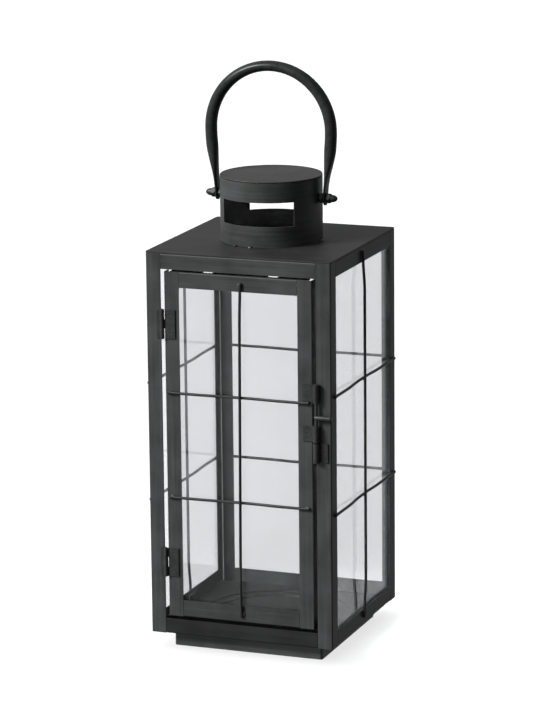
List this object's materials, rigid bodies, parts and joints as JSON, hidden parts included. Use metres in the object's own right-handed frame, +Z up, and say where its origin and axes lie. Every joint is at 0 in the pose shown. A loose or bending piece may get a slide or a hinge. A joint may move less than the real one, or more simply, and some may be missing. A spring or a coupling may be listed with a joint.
{
  "type": "candle lantern",
  "caption": "Square black metal lantern with glazed sides, wire glazing bars, a hinged glazed door with a drop bolt, a round vent collar and a swinging bail handle.",
  "frame": {"origin": "middle of the plinth's underside, on the surface that the lantern stands on", "axes": "+Z up, -Y out of the door side, +X to the right when facing the door"},
  "size_m": [0.1572, 0.1591, 0.4555],
  "materials": {
    "frame": "matt black powder coat over folded steel sheet",
    "plates": "matt black powder coat over flat steel sheet",
    "bars": "matt black powder coat over steel wire",
    "hardware": "satin black paint over steel, a little worn where it is handled",
    "handle": "satin black powder coat over steel tube",
    "glass": "clear float glass with green cut edges"
  },
  "bodies": {
    "frame": {"post_front_left": "frame", "post_front_right": "frame", "post_back_right": "frame", "post_back_left": "frame", "rail_top_front": "frame", "rail_bottom_front": "frame", "rail_top_right": "frame", "rail_bottom_right": "frame", "rail_top_back": "frame", "rail_bottom_back": "frame", "rail_top_left": "frame", "rail_bottom_left": "frame", "door_stop": "frame", "roof_plate": "plates", "floor_plate": "plates", "plinth": "frame", "pane_back": "glass", "pane_right": "glass", "pane_left": "glass", "vent_collar": "frame", "vent_lid": "plates", "pivot_screw_left": "hardware", "pivot_lock_nut_left": "hardware", "pivot_cap_nut_left": "hardware", "pivot_screw_right": "hardware", "pivot_lock_nut_right": "hardware", "pivot_cap_nut_right": "hardware", "hinge_upper_frame_leaf": "hardware", "hinge_upper_pin": "hardware", "hinge_lower_frame_leaf": "hardware", "hinge_lower_pin": "hardware", "latch_keeper": "hardware", "bar_right_upright": "bars", "bar_right_lower_crossbar": "bars", "bar_right_upper_crossbar": "bars", "bar_back_upright": "bars", "bar_back_lower_crossbar": "bars", "bar_back_upper_crossbar": "bars", "bar_left_upright": "bars", "bar_left_lower_crossbar": "bars", "bar_left_upper_crossbar": "bars"},
    "door": {"door_stile_left": "frame", "door_stile_right": "frame", "door_rail_top": "frame", "door_rail_bottom": "frame", "pane_door": "glass", "hinge_upper_door_leaf": "hardware", "hinge_lower_door_leaf": "hardware", "latch_upper_guide": "hardware", "latch_middle_guide": "hardware", "bar_door_upright": "bars", "bar_door_lower_crossbar": "bars", "bar_door_upper_crossbar": "bars"},
    "latch_bolt": {"latch_bolt": "hardware"},
    "handle": {"bail_handle": "handle"}
  },
  "joints": [
    {"name": "door_hinge", "type": "hinge", "parent": "frame", "child": "door", "pos_m": [-0.06145, -0.0765, 0.165], "axis": [0, 0, -1], "range_deg": [0, 165]},
    {"name": "bolt_slide", "type": "slide", "parent": "door", "child": "latch_bolt", "axis": [0, 0, 1], "range_m": [-0.0044, 0.0095]},
    {"name": "handle_swing", "type": "hinge", "parent": "frame", "child": "handle", "pos_m": [0, 0, 0.3508], "axis": [1, 0, 0], "range_deg": [-110, 110]}
  ]
}
